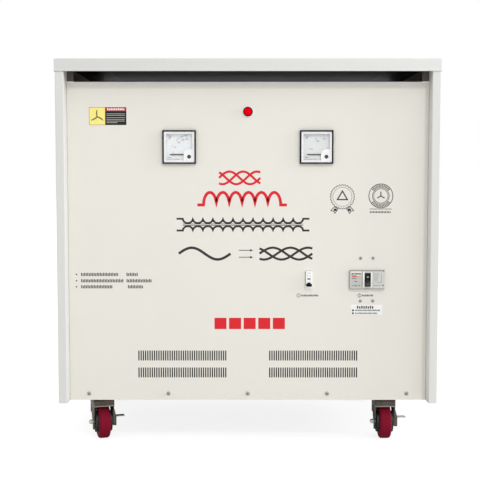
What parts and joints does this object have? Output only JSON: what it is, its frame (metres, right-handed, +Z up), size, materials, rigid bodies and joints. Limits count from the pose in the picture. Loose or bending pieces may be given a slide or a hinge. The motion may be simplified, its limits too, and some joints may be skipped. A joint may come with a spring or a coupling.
{
  "type": "phase converter transformer",
  "caption": "Free-standing transformer cabinet on braked swivel casters, with dial meters, a pilot lamp, breakers and vent slots on its recessed front panel.",
  "frame": {"origin": "on the floor, under the centre of the cabinet", "axes": "+Z up, +X to the right as seen from the front, the front panel faces -Y"},
  "size_m": [1.096, 0.706, 1.1125],
  "materials": {
    "cabinet_paint": "semi-gloss ivory enamel on sheet steel",
    "frame_steel": "grey primer on angle steel",
    "bright_steel": "zinc-plated steel",
    "black_plastic": "moulded black plastic",
    "white_plastic": "moulded white plastic",
    "grey_plastic": "moulded light grey plastic",
    "dial_face": "printed pale dial",
    "red_lens": "translucent red lens",
    "core_steel": "varnished laminations",
    "winding": "varnished copper winding",
    "fork_steel": "dull zinc-plated pressed steel",
    "red_tread": "dark red polyurethane",
    "red_hub": "dark red nylon",
    "meter_glass": "clear window"
  },
  "bodies": {
    "cabinet": {"top_cover": "cabinet_paint", "left_side_panel": "cabinet_paint", "right_side_panel": "cabinet_paint", "front_panel": "cabinet_paint", "back_panel": "cabinet_paint", "base_frame": "frame_steel", "bottom_plate": "frame_steel", "front_screws": "bright_steel", "back_screws": "bright_steel", "caster_plates": "bright_steel", "left_meter_case": "black_plastic", "left_meter_dial": "dial_face", "left_meter_rim": "white_plastic", "left_meter_cover": "white_plastic", "left_meter_glass": "meter_glass", "right_meter_case": "black_plastic", "right_meter_dial": "dial_face", "right_meter_rim": "white_plastic", "right_meter_cover": "white_plastic", "right_meter_glass": "meter_glass", "lamp_bezel": "black_plastic", "lamp_lens": "red_lens", "small_breaker": "white_plastic", "breaker_rail": "bright_steel", "main_breaker": "grey_plastic", "main_breaker_screws": "bright_steel", "transformer_core": "core_steel", "transformer_coils": "winding", "core_clamps": "frame_steel", "tie_rods": "bright_steel"},
    "left_needle": {"left_meter_needle": "black_plastic"},
    "right_needle": {"right_meter_needle": "black_plastic"},
    "small_toggle": {"small_breaker_toggle": "black_plastic"},
    "main_toggle": {"main_breaker_toggle": "black_plastic"},
    "front_left_swivel": {"front_left_fork": "fork_steel", "front_left_axle": "bright_steel"},
    "front_left_wheel": {"front_left_tread": "red_tread", "front_left_hub": "red_hub"},
    "front_left_brake": {"front_left_pedal": "bright_steel"},
    "front_right_swivel": {"front_right_fork": "fork_steel", "front_right_axle": "bright_steel"},
    "front_right_wheel": {"front_right_tread": "red_tread", "front_right_hub": "red_hub"},
    "front_right_brake": {"front_right_pedal": "bright_steel"},
    "back_left_swivel": {"back_left_fork": "fork_steel", "back_left_axle": "bright_steel"},
    "back_left_wheel": {"back_left_tread": "red_tread", "back_left_hub": "red_hub"},
    "back_left_brake": {"back_left_pedal": "bright_steel"},
    "back_right_swivel": {"back_right_fork": "fork_steel", "back_right_axle": "bright_steel"},
    "back_right_wheel": {"back_right_tread": "red_tread", "back_right_hub": "red_hub"},
    "back_right_brake": {"back_right_pedal": "bright_steel"}
  },
  "joints": [
    {"name": "left_needle_turn", "type": "hinge", "parent": "cabinet", "child": "left_needle", "pos_m": [-0.1691, -0.3041, 0.8435], "axis": [0, 1, 0], "range_deg": [0, 90]},
    {"name": "right_needle_turn", "type": "hinge", "parent": "cabinet", "child": "right_needle", "pos_m": [0.2259, -0.3041, 0.8435], "axis": [0, 1, 0], "range_deg": [0, 90]},
    {"name": "small_toggle_throw", "type": "hinge", "parent": "cabinet", "child": "small_toggle", "pos_m": [0.177, -0.305, 0.476], "axis": [-1, 0, 0], "range_deg": [0, 70]},
    {"name": "main_toggle_throw", "type": "hinge", "parent": "cabinet", "child": "main_toggle", "pos_m": [0.347, -0.305, 0.482], "axis": [-1, 0, 0], "range_deg": [0, 70]},
    {"name": "front_left_swivel_turn", "type": "hinge", "parent": "cabinet", "child": "front_left_swivel", "pos_m": [-0.44, -0.222, 0.117], "axis": [0, 0, 1], "continuous": true},
    {"name": "front_left_wheel_spin", "type": "hinge", "parent": "front_left_swivel", "child": "front_left_wheel", "pos_m": [-0.43298, -0.24495, 0.05], "axis": [0.9563, 0.2924, 0], "continuous": true},
    {"name": "front_left_brake_lift", "type": "hinge", "parent": "front_left_swivel", "child": "front_left_brake", "pos_m": [-0.40097, -0.22994, 0.059], "axis": [0.2924, -0.9563, 0], "range_deg": [0, 20]},
    {"name": "front_right_swivel_turn", "type": "hinge", "parent": "cabinet", "child": "front_right_swivel", "pos_m": [0.408, -0.222, 0.117], "axis": [0, 0, 1], "continuous": true},
    {"name": "front_right_wheel_spin", "type": "hinge", "parent": "front_right_swivel", "child": "front_right_wheel", "pos_m": [0.408, -0.246, 0.05], "axis": [1, 0, 0], "continuous": true},
    {"name": "front_right_brake_lift", "type": "hinge", "parent": "front_right_swivel", "child": "front_right_brake", "pos_m": [0.443, -0.241, 0.059], "axis": [0, -1, 0], "range_deg": [0, 20]},
    {"name": "back_left_swivel_turn", "type": "hinge", "parent": "cabinet", "child": "back_left_swivel", "pos_m": [-0.44, 0.222, 0.117], "axis": [0, 0, 1], "continuous": true},
    {"name": "back_left_wheel_spin", "type": "hinge", "parent": "back_left_swivel", "child": "back_left_wheel", "pos_m": [-0.44702, 0.24495, 0.05], "axis": [-0.9563, -0.2924, 0], "continuous": true},
    {"name": "back_left_brake_lift", "type": "hinge", "parent": "back_left_swivel", "child": "back_left_brake", "pos_m": [-0.47903, 0.22994, 0.059], "axis": [-0.2924, 0.9563, 0], "range_deg": [0, 20]},
    {"name": "back_right_swivel_turn", "type": "hinge", "parent": "cabinet", "child": "back_right_swivel", "pos_m": [0.408, 0.222, 0.117], "axis": [0, 0, 1], "continuous": true},
    {"name": "back_right_wheel_spin", "type": "hinge", "parent": "back_right_swivel", "child": "back_right_wheel", "pos_m": [0.408, 0.246, 0.05], "axis": [-1, 0, 0], "continuous": true},
    {"name": "back_right_brake_lift", "type": "hinge", "parent": "back_right_swivel", "child": "back_right_brake", "pos_m": [0.373, 0.241, 0.059], "axis": [0, 1, 0], "range_deg": [0, 20]}
  ]
}
